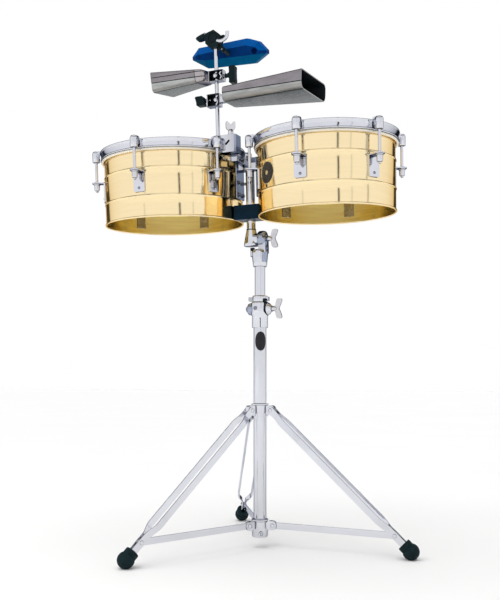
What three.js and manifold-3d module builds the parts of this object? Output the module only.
// A pair of timbales on a folding tripod stand, with two cowbells and a jam block on a rod.
// Millimetres, +Z up. X runs along the pair of drums and -Y is the audience side. The origin is on
// the floor under the middle of the whole, just to the +X side of the mast that carries the drums.
import * as THREE from 'three';
import { mergeVertices } from 'three/addons/utils/BufferGeometryUtils.js';
import Module from 'manifold-3d';

const wasm = await Module();
wasm.setup();

const deg = THREE.MathUtils.degToRad;

// ---- Driving dimensions ----
const INCH = 25.4;
const GAP = 0.3; // between touching pieces

const LEFT_DRUM = { name: 'left', x: -215, radius: 7 * INCH, bottom: 49, turn: 0 };
const RIGHT_DRUM = { name: 'right', x: 199, radius: 6.5 * INCH, bottom: 45.5, turn: -3.5 };
const SHELL_HEIGHT = 169;
const SHELL_WALL = 1.2;
const BEADS = [52.5, 119]; // heights of the two raised beads over the shell's bottom edge
const HOOP_BOTTOM = 160;
const HOOP_TOP = 186;
const HOOK_OFFSET = 20; // from the shell's wall to the tension rod's axis
const SHELF = 112; // top of the lug's shelf over the shell's bottom edge
const LUG_ANGLES = [-150, -90, -30, 30, 90, 150];
const DRUM_SIDES = 36;

const MAST_X = -9;
const TUBE_OFFSET = 23; // the stand's tube is beside the mast, across the toothed tilter
const BASE_TUBE = { outer: 16, inner: 14, bottom: 27, top: 584 };
const UPPER_TUBE = { outer: 13, inner: 11.5, bottom: 400, top: 738 };
const HINGE_Z = 771; // the tilter's hinge axis runs along X at this height
const TILT = 3.47; // the drums lean this much towards the audience
const MAST_RADIUS = 11;

const LEG_ANGLES = { right: 0, rear: 120, left: 240 };
const LEG_PIVOT = { r: 31, z: 343 };
const FOOT = { r: 378, z: 19, ball: 20.8 };
const STRUT_INNER = { r: 35, z: 56 };
const STRUT_AT = 424; // along the leg, from its pivot
const LEG_STRIP = 3;
const PIN = 3.5;

const ROD = { x: -56, y: -64, radius: 4.75, bend: 245, top: 491 };
const LARGE_BELL = { end: [-26.3, -61.8, 338.1], yaw: -5.4, pitch: 2.4, roll: 0, length: 225,
  mouth: [142, 43], closed: [79, 34], corner: 14 };
const SMALL_BELL = { end: [-77.7, -59.1, 397.3], yaw: 176.7, pitch: 0, roll: 8.3, length: 134,
  mouth: [112, 48], closed: [65, 29], corner: 13 };
const BELL_WALL = 1.6;
const BLOCK = { centre: [-38.5, -10, 458], half: [103, 33], flat: 62, tip: 9, depth: 46,
  bevel: 11, roll: 17, dip: 3.5 };

// ---- Finishes ----
const finish = (color, roughness, metalness) =>
  new THREE.MeshStandardMaterial({ color, roughness, metalness });
const brass = () => finish(0xd9b45a, 0.18, 1);
const chrome = () => finish(0xd8dae2, 0.12, 1);
const brushed = () => finish(0x8d8a8c, 0.35, 1);
const film = () => finish(0xf1efe9, 0.45, 0);
const blackPlastic = () => finish(0x14181a, 0.5, 0);
const bluePlastic = () => finish(0x0b58a8, 0.35, 0);
const rubber = () => finish(0x16201f, 0.8, 0);

// ---- Shape helpers ----
// Shared corners only, no empty triangles, faces pointing out.
function tidy(geometry) {
  const bare = geometry.clone();
  bare.deleteAttribute('normal');
  bare.deleteAttribute('uv');
  bare.clearGroups();
  const merged = mergeVertices(bare, 1e-3);
  const at = merged.attributes.position;
  const index = merged.index.array;
  const kept = [];
  const a = new THREE.Vector3();
  const b = new THREE.Vector3();
  const c = new THREE.Vector3();
  let volume = 0;
  for (let i = 0; i < index.length; i += 3) {
    const [p, q, r] = [index[i], index[i + 1], index[i + 2]];
    if (p === q || q === r || r === p) continue;
    kept.push(p, q, r);
    a.fromBufferAttribute(at, p);
    b.fromBufferAttribute(at, q);
    c.fromBufferAttribute(at, r);
    volume += a.dot(b.cross(c));
  }
  if (volume < 0) kept.reverse();
  merged.setIndex(kept);
  return merged;
}

function solid(geometry) {
  const merged = tidy(geometry);
  return new wasm.Manifold(new wasm.Mesh({
    numProp: 3,
    vertProperties: new Float32Array(merged.attributes.position.array),
    triVerts: new Uint32Array(merged.index.array),
  }));
}

function geometryOf(manifold) {
  const mesh = manifold.getMesh();
  const geometry = new THREE.BufferGeometry();
  geometry.setAttribute('position', new THREE.BufferAttribute(mesh.vertProperties, 3));
  geometry.setIndex(new THREE.BufferAttribute(mesh.triVerts, 1));
  return geometry;
}

const join = (...shapes) => geometryOf(shapes.map(solid).reduce((all, next) => all.add(next)));
const cut = (shape, ...tools) =>
  geometryOf(tools.map(solid).reduce((rest, tool) => rest.subtract(tool), solid(shape)));
const common = (first, second) => geometryOf(solid(first).intersect(solid(second)));

// A round bar along Z, or along X or Y.
const poleZ = (radius, from, to, sides = 12, top = radius) =>
  new THREE.CylinderGeometry(top, radius, to - from, sides)
    .rotateX(Math.PI / 2)
    .translate(0, 0, (from + to) / 2);
const poleX = (radius, from, to, sides = 12, end = radius) =>
  poleZ(radius, from, to, sides, end).rotateY(Math.PI / 2);
const poleY = (radius, from, to, sides = 12) =>
  poleZ(radius, -to, -from, sides).rotateX(Math.PI / 2);

const box = (x, y, z) =>
  new THREE.BoxGeometry(x[1] - x[0], y[1] - y[0], z[1] - z[0])
    .translate((x[0] + x[1]) / 2, (y[0] + y[1]) / 2, (z[0] + z[1]) / 2);

// A turned piece around Z from [radius, height] corners. Off the axis the profile closes on itself.
function turned(corners, sides) {
  const onAxis = corners[0][0] === 0 && corners.at(-1)[0] === 0;
  const points = (onAxis ? corners : [...corners, corners[0]])
    .map(([r, z]) => new THREE.Vector2(r, z));
  return new THREE.LatheGeometry(points, sides).rotateX(Math.PI / 2);
}

const ring = (inner, outer, from, to, sides = 20) =>
  turned([[inner, from], [outer, from], [outer, to], [inner, to]], sides);

const outline = (corners) => new THREE.Shape(corners.map(([x, y]) => new THREE.Vector2(x, y)));
const plate = (shape, depth, curveSegments = 4) =>
  new THREE.ExtrudeGeometry(shape, { depth, bevelEnabled: false, curveSegments });

// An outline drawn in the XZ plane, given its thickness along Y, centred on y = 0.
const upright = (shape, depth, curveSegments = 4) =>
  plate(shape, depth, curveSegments).rotateX(Math.PI / 2).translate(0, depth / 2, 0);

function roundedBox(width, height, corner) {
  const [w, h] = [width / 2, height / 2];
  const shape = new THREE.Shape();
  shape.moveTo(-w + corner, -h);
  shape.lineTo(w - corner, -h);
  shape.absarc(w - corner, -h + corner, corner, -Math.PI / 2, 0);
  shape.lineTo(w, h - corner);
  shape.absarc(w - corner, h - corner, corner, 0, Math.PI / 2);
  shape.lineTo(-w + corner, h);
  shape.absarc(-w + corner, h - corner, corner, Math.PI / 2, Math.PI);
  shape.lineTo(-w, -h + corner);
  shape.absarc(-w + corner, -h + corner, corner, Math.PI, Math.PI * 1.5);
  return shape;
}

// ---- Scene graph ----
const object = new THREE.Group();
const stand = new THREE.Group();
stand.position.x = MAST_X + TUBE_OFFSET;
const tilter = new THREE.Group(); // on top of the stand, measured from the mast
tilter.position.x = MAST_X;
const rack = new THREE.Group(); // all that tilts, measured from the hinge axis
rack.position.set(MAST_X, 0, HINGE_Z);
rack.rotation.x = deg(TILT);
object.add(stand, tilter, rack);

function piece(group, name, geometry, material) {
  const mesh = new THREE.Mesh(tidy(geometry), material);
  mesh.name = name;
  group.add(mesh);
  return mesh;
}

// ---- Stand: tubes and collars ----
function boltedWing(stemFrom, hubFrom, hubTo, reach, span, thickness = 5) {
  const root = (hubFrom + hubTo) / 2;
  const waist = hubTo + 3;
  const wings = outline([
    [root, -6], [hubTo + 1, -span + 2], [reach - 2, -span], [reach, -span + 5], [waist, -2],
    [waist, 2], [reach, span - 5], [reach - 2, span], [hubTo + 1, span - 2], [root, 6],
  ]);
  return join(
    poleX(3, stemFrom, hubFrom + 1, 8),
    poleX(6.5, hubFrom, hubTo, 10),
    upright(wings, thickness),
  );
}

function buildTubes() {
  const { outer, inner, bottom, top } = BASE_TUBE;
  piece(stand, 'base_tube', ring(inner, outer, bottom, top), chrome());
  piece(stand, 'upper_tube',
    ring(UPPER_TUBE.inner, UPPER_TUBE.outer, UPPER_TUBE.bottom, UPPER_TUBE.top), chrome());
}

const CLAMP = { bottom: 549, body: 579, top: 613, screw: 596 };

function buildHeightClamp() {
  const bore = BASE_TUBE.outer + GAP;
  const throat = UPPER_TUBE.outer + 0.4;
  const sleeve = turned([
    [bore, CLAMP.bottom], [20, CLAMP.bottom], [20, CLAMP.body], [22, CLAMP.body + 2],
    [22, CLAMP.top - 2], [20.5, CLAMP.top], [throat, CLAMP.top], [throat, 586], [bore, 586],
  ], 20);
  const jaw = cut(box([-32, 32], [-11, 11], [583, 610]), poleZ(21, 580, 620, 20));
  piece(stand, 'height_clamp',
    cut(join(sleeve, jaw), poleX(3.4, 23.5, 34, 8).translate(0, 0, CLAMP.screw)), chrome());
  piece(stand, 'height_wing_screw',
    boltedWing(24, 32.4, 41, 58, 24.5).translate(0, 0, CLAMP.screw), chrome());

  const lockBottom = CLAMP.top + GAP;
  const lock = ring(UPPER_TUBE.outer + GAP, 18.5, lockBottom, 629);
  const lugs = cut(box([-29, 24], [-6, 6], [lockBottom + 2, 626]), poleZ(17, 600, 640, 20));
  piece(stand, 'memory_lock', join(lock, lugs), chrome());
}

function buildCollars() {
  const bore = BASE_TUBE.outer + GAP;
  const legEar = (angle) => cut(
    box([18, 38], [-7, 7], [332, 354]),
    poleY(4, -9, 9, 8).translate(LEG_PIVOT.r, 0, LEG_PIVOT.z),
  ).rotateZ(deg(angle));
  const legCollar = turned([
    [bore, 328], [20, 328], [20, 355.5], [21.5, 355.5], [21.5, 359], [bore, 359],
  ], 18);
  piece(stand, 'leg_collar', join(legCollar, ...Object.values(LEG_ANGLES).map(legEar)), chrome());

  // Each strut is held between two cheeks, by a pin that belongs to the collar.
  const { r, z } = STRUT_INNER;
  const cheek = (side) =>
    box([18, 44], side > 0 ? [2.4, 5.2] : [-5.2, -2.4], [z - 11, z + 11]);
  const clevis = (angle) =>
    join(cheek(1), cheek(-1), poleY(PIN, -6.5, 6.5, 8).translate(r, 0, z)).rotateZ(deg(angle));
  const sleeve = turned([
    [bore, 26], [18, 26], [19.5, 28], [19.5, 66], [21, 66], [21, 70], [bore, 70],
  ], 18);
  const boss = poleX(6, 18, 26, 8).translate(0, 0, 36).rotateZ(deg(-60));
  piece(stand, 'spreader_collar',
    join(sleeve, cut(boss, poleZ(17.5, 20, 50, 18)), ...Object.values(LEG_ANGLES).map(clevis)),
    chrome());
}

// ---- Stand: legs, struts and feet ----
// A leg is drawn along +X from its pivot, then leaned down and outwards.
const LEG_LENGTH = Math.hypot(FOOT.r - LEG_PIVOT.r, LEG_PIVOT.z - FOOT.z);
const LEG_SLOPE = Math.atan2(LEG_PIVOT.z - FOOT.z, FOOT.r - LEG_PIVOT.r);
const NECK = { from: LEG_LENGTH - 25, to: LEG_LENGTH - 6 };
const LEG_END = LEG_LENGTH - 9;

const leanLeg = (geometry) =>
  geometry.rotateY(LEG_SLOPE).translate(LEG_PIVOT.r, 0, LEG_PIVOT.z);

function legShape() {
  const narrow = { top: 7.4, middle: 13.5, foot: 3.1 };
  const line = [
    [-10, narrow.top], [20, narrow.top], [46, narrow.middle],
    [378, narrow.middle], [408, narrow.foot], [LEG_END, narrow.foot],
  ];
  const back = line.map(([s, t]) => [s, t + LEG_STRIP]).reverse();
  const edge = plate(outline([...line, ...back]), 30).translate(0, 0, -15);
  const face = new THREE.Shape();
  face.absarc(0, 0, 9, Math.PI / 2, Math.PI * 1.5);
  face.lineTo(26, -12);
  face.lineTo(400, -12);
  face.lineTo(432, -10);
  face.lineTo(LEG_END, -10);
  face.lineTo(LEG_END, 10);
  face.lineTo(432, 10);
  face.lineTo(400, 12);
  face.lineTo(26, 12);
  const strip = common(edge, upright(face, 60, 3));
  const other = strip.clone().scale(1, -1, 1);
  const plug = box([NECK.from + 9, LEG_END], [-3.2, 3.2], [-7, 7]);
  // The strut's rivet is in two halves, clear of the strut: halfway through the fold the strut's
  // end strays from it.
  const rivet = [[-7.2, -2.3], [2.3, 7.2]].map(([from, to]) =>
    poleY(PIN, from, to, 8).translate(STRUT_AT, 0, 0));
  return join(strip, other, poleY(PIN, -11.5, 11.5, 8), ...rivet, plug);
}

function bootShape() {
  const neck = turned([[0, NECK.from], [15, NECK.from], [16.5, NECK.from + 2], [16.5, NECK.to],
    [0, NECK.to]], 12).rotateY(Math.PI / 2);
  const ball = new THREE.SphereGeometry(FOOT.ball, 12, 7).translate(LEG_LENGTH, 0, 0);
  const pocket = box([NECK.from - 1, LEG_END + GAP], [-6.5, 6.5], [-10.4, 10.4]);
  const slot = box([NECK.from - 1, LEG_LENGTH + 4], [-2.6, 2.6], [8, 30]); // clears the strut
  const boot = leanLeg(cut(join(neck, ball), pocket, slot));
  return cut(boot, box([FOOT.r - 40, FOOT.r + 40], [-30, 30], [-30, 0])); // flat on the floor
}

function strutShape() {
  const outer = leanLeg(new THREE.BufferGeometry().setFromPoints([
    new THREE.Vector3(STRUT_AT, 0, 0)])).attributes.position;
  const [dr, dz] = [outer.getX(0) - STRUT_INNER.r, outer.getZ(0) - STRUT_INNER.z];
  const length = Math.hypot(dr, dz);
  const face = new THREE.Shape();
  face.absarc(0, 0, 10.5, Math.PI / 4, Math.PI * 1.75);
  face.lineTo(22, -8);
  face.lineTo(length, -8);
  face.absarc(length, 0, 8, -Math.PI / 2, Math.PI / 2);
  face.lineTo(22, 8);
  const holes = [0, length].map((s) => poleY(PIN + 0.4, -4, 4, 8).translate(s, 0, 0));
  return cut(upright(face, 4, 4), ...holes)
    .rotateY(-Math.atan2(dz, dr))
    .translate(STRUT_INNER.r, 0, STRUT_INNER.z);
}

function buildLegs() {
  for (const [name, angle] of Object.entries(LEG_ANGLES)) {
    piece(stand, `leg_${name}`, leanLeg(legShape()).rotateZ(deg(angle)), chrome());
    piece(stand, `foot_${name}`, bootShape().rotateZ(deg(angle)), rubber());
    piece(stand, `strut_${name}`, strutShape().rotateZ(deg(angle)), chrome());
  }
}

// ---- Tilter ----
const TILTER = { face: 18, base: 702, shoulder: 744, ear: 16, earEnd: 42 };

function buildTilter() {
  const bore = UPPER_TUBE.outer + GAP;
  const socket = turned([
    [0, TILTER.base], [17, TILTER.base], [18, 712], [20.5, 736], [20.5, TILTER.shoulder],
    [0, TILTER.shoulder],
  ], 18).translate(TUBE_OFFSET, 0, 0);
  const shoulder = box([-3, 44], [-15, 15], [730, TILTER.shoulder]);
  const web = box([TILTER.face + GAP, TILTER.earEnd], [-13, 13], [738, HINGE_Z]);
  const ear = poleX(TILTER.ear, TILTER.face + GAP, TILTER.earEnd, 18).translate(0, 0, HINGE_Z);
  const screwHole = poleX(3.4, 33.5, 44, 8).translate(0, 0, HINGE_Z);
  const tubeHole = poleZ(bore, 700, UPPER_TUBE.top + GAP, 20).translate(TUBE_OFFSET, 0, 0);
  piece(tilter, 'tilter_base', cut(join(socket, shoulder, web, ear), screwHole, tubeHole), chrome());
  piece(tilter, 'tilter_wing_screw',
    boltedWing(34, TILTER.earEnd + 0.4, 52, 71, 22.5).translate(0, 0, HINGE_Z), chrome());

  const cone = turned([
    [0, -17], [17.5, -17], [19, -15], [18, -6], [12.5, 22], [12, 24], [0, 24],
  ], 18);
  const toothedDisc = poleX(TILTER.ear, 4, TILTER.face, 18);
  const post = poleZ(MAST_RADIUS, 20, 203, 18);
  const beyondTeeth = box([TILTER.face, 30], [-20, 20], [-20, 20]);
  piece(rack, 'mast', cut(join(cone, toothedDisc, post), beyondTeeth), chrome());
}

// ---- Centre bracket, spacer and rod clamp ----
const PLATE = { left: [-29, -26], right: [24.5, 27.5], halfWidth: 24, bottom: 102, top: 200 };
const BOLTS = { y: [-12, 12], z: [113, 143] };
const ROD_CLAMP = { bottom: 200, top: 254, screwX: -24 };

function buildCentre() {
  const clearOf = (drum, from, to) =>
    poleZ(drum.radius + 2.7, from, to, 96).translate(drum.x, 0, 0);
  const hole = poleZ(MAST_RADIUS + GAP, 40, 210, 18);
  piece(rack, 'spacer_block',
    cut(box([-44, 38], [-27, 27], [48, 85]), clearOf(LEFT_DRUM, 40, 90),
      clearOf(RIGHT_DRUM, 40, 90), hole),
    blackPlastic());

  const bosses = [];
  for (const y of BOLTS.y) {
    for (const z of BOLTS.z) {
      const leftWall = LEFT_DRUM.x + Math.sqrt(LEFT_DRUM.radius ** 2 - 17 ** 2);
      const rightWall = RIGHT_DRUM.x - Math.sqrt(RIGHT_DRUM.radius ** 2 - 17 ** 2);
      bosses.push(poleX(5, leftWall + 1.4, PLATE.left[0] + 1, 8).translate(0, y, z));
      bosses.push(poleX(5, PLATE.right[1] - 1, rightWall - 1.4, 8).translate(0, y, z));
    }
  }
  const side = [-PLATE.halfWidth, PLATE.halfWidth];
  const yoke = box([PLATE.left[1] - 1, PLATE.right[0] + 1], [-17, 17], [172, PLATE.top]);
  const arm = box([-24, -9], [-60, -16], [186, 202]);
  const block = plate(outline([
    [-42, -80], [-36, -86], [-6, -86], [-6, -50], [-32.5, -50], [-42, -77],
  ]), ROD_CLAMP.top - ROD_CLAMP.bottom).translate(0, 0, ROD_CLAMP.bottom);
  const whole = join(
    box(PLATE.left, side, [PLATE.bottom, PLATE.top]),
    box(PLATE.right, side, [PLATE.bottom, PLATE.top]),
    yoke, arm, block, ...bosses,
  );
  piece(rack, 'center_bracket', cut(whole, hole,
    poleX(ROD.radius + 0.4, -50, -12, 12).translate(0, ROD.y, ROD.bend),
    poleZ(3.4, ROD.bend, 260, 8).translate(ROD_CLAMP.screwX, ROD.y, 0)), chrome());
  piece(rack, 'rod_clamp_screw',
    boltedWing(ROD.bend + ROD.radius + 0.5, ROD_CLAMP.top + 0.4, 263, 286, 14)
      .rotateY(-Math.PI / 2).translate(ROD_CLAMP.screwX, ROD.y, 0), chrome());
}

// ---- Accessory rod, cowbells and jam block ----
function buildRod() {
  const { x, y, radius, bend, top } = ROD;
  const elbow = 11;
  const path = new THREE.QuadraticBezierCurve3(
    new THREE.Vector3(x + elbow, y, bend),
    new THREE.Vector3(x, y, bend),
    new THREE.Vector3(x, y, bend + elbow));
  const section = new THREE.Shape().absarc(0, 0, radius, 0, Math.PI * 2);
  const bent = new THREE.ExtrudeGeometry(section,
    { extrudePath: path, steps: 4, bevelEnabled: false, curveSegments: 5 });
  piece(rack, 'accessory_rod', join(
    bent,
    poleX(radius, x + elbow - 0.5, -14, 10).translate(0, y, bend),
    poleZ(radius, bend + elbow - 0.5, top, 10).translate(x, y, 0),
  ), chrome());
}

// Drawn along +X from its closed end: width along Y, height along Z.
function bellShape({ mouth, closed, length, corner }, inset, from, past) {
  const shape = roundedBox(mouth[0] - 2 * inset, mouth[1] - 2 * inset, corner - inset);
  const geometry = new THREE.ExtrudeGeometry(shape,
    { depth: length + past - from, bevelEnabled: false, curveSegments: 2 });
  const at = geometry.attributes.position;
  for (let i = 0; i < at.count; i += 1) {
    const s = (at.getZ(i) + from) / length;
    const wide = (closed[0] + (mouth[0] - closed[0]) * s) / 2 - inset;
    const high = (closed[1] + (mouth[1] - closed[1]) * s) / 2 - inset;
    at.setX(i, at.getX(i) * wide / (mouth[0] / 2 - inset));
    at.setY(i, at.getY(i) * high / (mouth[1] / 2 - inset));
  }
  geometry.translate(0, 0, from);
  return geometry.applyMatrix4(new THREE.Matrix4().makeBasis(
    new THREE.Vector3(0, 1, 0), new THREE.Vector3(0, 0, 1), new THREE.Vector3(1, 0, 0)));
}

function placedBell(bell, ...extras) {
  const place = (shape) => shape
    .rotateX(deg(bell.yaw > 90 ? -bell.roll : bell.roll))
    .rotateY(deg(bell.pitch))
    .rotateZ(deg(bell.yaw))
    .translate(...bell.end);
  const shell = cut(place(bellShape(bell, 0, 0, 0)),
    place(bellShape(bell, BELL_WALL, BELL_WALL, 3)));
  return join(shell, ...extras);
}

// A black T-shaped hand knob, with its stem pointing along -X from the grip.
const knob = (stemEnd, from, to, span, thickness) => join(
  poleX(3, stemEnd, from + 1, 8),
  poleX(6, from, from + 8, 10),
  upright(outline([
    [from + 4, -5], [from + 8, -span], [to, -span + 1], [to - 3, 0], [to, span - 1],
    [from + 8, span], [from + 4, 5],
  ]), thickness),
);

function buildBells() {
  const { x, y } = ROD;
  const rodHole = poleZ(ROD.radius + GAP, 300, 420, 12).translate(x, y, 0);
  const largeClamp = { z: 335, from: -80, to: -24.5 };
  const large = placedBell(LARGE_BELL,
    box([largeClamp.from, -46], [y - 10, y + 10], [largeClamp.z - 15, largeClamp.z + 15]),
    box([-48, largeClamp.to], [y - 8, y + 8], [largeClamp.z - 7, largeClamp.z + 7]));
  piece(rack, 'large_bell', cut(large, rodHole,
    poleX(3.4, -82, -69.6, 8).translate(0, y, largeClamp.z)), brushed());
  piece(rack, 'large_bell_knob',
    knob(70, 89, 110, 15, 9).rotateZ(Math.PI).translate(0, y, largeClamp.z), blackPlastic());

  const smallClamp = { z: 392, from: -79.5, to: -32 };
  const small = placedBell(SMALL_BELL,
    box([-70, smallClamp.to], [y - 10, y + 10], [smallClamp.z - 14, smallClamp.z + 14]),
    box([smallClamp.from, -69], [y - 8, y + 8], [smallClamp.z - 7, smallClamp.z + 7]));
  piece(rack, 'small_bell', cut(small, rodHole,
    poleX(3.4, -42.4, -30, 8).translate(0, y, smallClamp.z)), brushed());
  piece(rack, 'small_bell_knob',
    knob(-42, -19, 0, 23, 8).translate(0, y, smallClamp.z), blackPlastic());
}

function buildBlock() {
  const { half, flat, tip, depth, bevel } = BLOCK;
  const [long, high] = [half[0] - bevel, half[1] - bevel];
  const face = outline([
    [-long, -tip], [-flat, -high], [flat, -high], [long, -tip],
    [long, tip], [flat, high], [-flat, high], [-long, tip],
  ]);
  const gem = new THREE.ExtrudeGeometry(face, {
    depth: depth - 2 * bevel, bevelThickness: bevel, bevelSize: bevel, bevelSegments: 1,
  }).rotateX(Math.PI / 2).translate(0, depth / 2 - bevel, 0);
  piece(rack, 'jam_block', gem
    .rotateY(deg(BLOCK.dip))
    .rotateX(deg(BLOCK.roll))
    .translate(...BLOCK.centre), bluePlastic());

  const { x, y } = ROD;
  const body = box([-78, -38], [y - 13, y + 15], [452, 500]);
  const arm = box([-58, -28], [y + 14, -39.5], [442, 464]);
  const lobe = box([-40, -30], [y - 5, y + 5], [470, 496]);
  piece(rack, 'block_clamp', cut(join(body, arm, lobe),
    poleZ(ROD.radius + GAP, 440, ROD.top + GAP, 12).translate(x, y, 0),
    poleX(3.4, -80, -67.6, 8).translate(0, y, 490)), blackPlastic());
  piece(rack, 'block_knob',
    knob(68, 79, 105, 9, 16).rotateZ(Math.PI).translate(0, y, 490), blackPlastic());
}

// ---- Drums ----
function shellProfile(R) {
  const wall = [[R + 2, 0], [R + 2, 5], [R, 6.5]];
  for (const z of BEADS) {
    wall.push([R, z - 3], [R + 1.6, z], [R, z + 3]);
  }
  wall.push([R, SHELL_HEIGHT], [R - SHELL_WALL, SHELL_HEIGHT], [R - SHELL_WALL, 0]);
  return wall;
}

function lugShape(R) {
  const back = box([R - 0.8, R + 2.6], [-13.5, 13.5], [62, SHELF]);
  const shelf = box([R + 1, R + HOOK_OFFSET + 7], [-10, 10], [SHELF - 3, SHELF]);
  return cut(join(back, shelf), poleZ(4.2, SHELF - 10, SHELF + 5, 10).translate(R + HOOK_OFFSET, 0, 0));
}

function hookShape(R) {
  const claw = outline([
    [R + 5.8, HOOP_TOP + 0.4], [R + 5.8, HOOP_TOP + 3], [R + 10, HOOP_TOP + 5],
    [R + 22, HOOP_TOP + 5], [R + 27, HOOP_TOP], [R + 27, 169], [R + 24, 166],
    [R + 10.4, 166], [R + 10.4, HOOP_TOP + 0.4],
  ]);
  return join(upright(claw, 18), poleZ(PIN, 78, 168, 8).translate(R + HOOK_OFFSET, 0, 0));
}

function nutShape() {
  const top = SHELF - 3 - GAP;
  return turned([[3.9, top - 16], [6.6, top - 16], [6.6, top - 3], [8, top - 3],
    [8, top], [3.9, top]], 8);
}

function buildDrum(drum) {
  const R = drum.radius;
  const group = new THREE.Group();
  group.position.set(drum.x, 0, drum.bottom);
  group.rotation.z = deg(drum.turn);
  rack.add(group);

  const lugs = LUG_ANGLES.map((angle) => lugShape(R).rotateZ(deg(angle)));
  piece(group, `${drum.name}_shell`, join(turned(shellProfile(R), DRUM_SIDES), ...lugs), brass());
  piece(group, `${drum.name}_head`, turned([
    [0, SHELL_HEIGHT + GAP], [R + 0.5, SHELL_HEIGHT + GAP], [R + 0.5, 163.4], [R + 5, 163.4],
    [R + 5, 166], [R + 1.9, 166], [R + 1.9, 170.3], [0, 170.3],
  ], DRUM_SIDES), film());
  piece(group, `${drum.name}_hoop`, turned([
    [R + 5.4, HOOP_BOTTOM], [R + 8, HOOP_BOTTOM], [R + 8, HOOP_TOP - 4],
    [R + 9.8, HOOP_TOP - 2], [R + 9.8, HOOP_TOP], [R + 5.4, HOOP_TOP], [R + 5.4, 169],
    [R + 2.8, 169], [R + 2.8, 166.4], [R + 5.4, 166.4],
  ], DRUM_SIDES), chrome());

  LUG_ANGLES.forEach((angle, i) => {
    piece(group, `${drum.name}_hook_${i + 1}`, hookShape(R).rotateZ(deg(angle)), chrome());
    piece(group, `${drum.name}_nut_${i + 1}`,
      nutShape().translate(R + HOOK_OFFSET, 0, 0).rotateZ(deg(angle)), chrome());
  });
}

buildTubes();
buildHeightClamp();
buildCollars();
buildLegs();
buildTilter();
buildCentre();
buildRod();
buildBells();
buildBlock();
buildDrum(LEFT_DRUM);
buildDrum(RIGHT_DRUM);

export default object;
